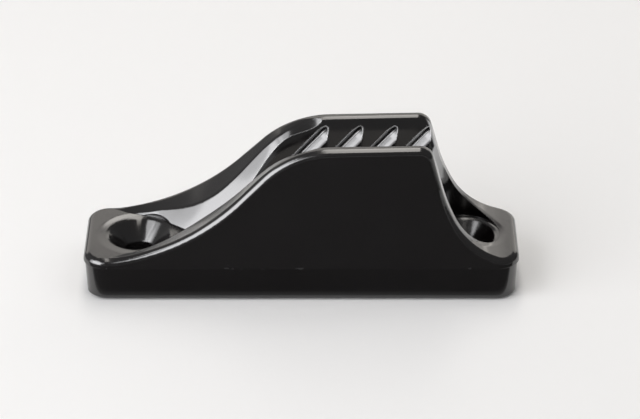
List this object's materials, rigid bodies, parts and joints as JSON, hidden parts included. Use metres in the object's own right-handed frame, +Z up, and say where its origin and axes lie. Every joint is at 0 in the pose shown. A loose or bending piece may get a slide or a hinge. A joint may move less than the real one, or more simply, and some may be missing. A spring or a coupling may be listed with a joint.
{
  "type": "jam cleat",
  "caption": "Open jam cleat in moulded black nylon: a rope is led up a rounded trough and wedges between two leaning toothed jaws; it is screwed down through countersunk holes.",
  "frame": {"origin": "middle of the underside, halfway between the two screws", "axes": "+X along the rope channel towards the steep tail end (the rope is led in and loaded from the low -X end), +Y across the jaws, +Z up out of the surface it is screwed to"},
  "size_m": [0.0824, 0.0214, 0.0309],
  "materials": {
    "black_nylon": "glossy as moulded, with soft highlights along the rounded edges"
  },
  "bodies": {
    "root": {"cleat_body": "black_nylon"}
  },
  "joints": []
}
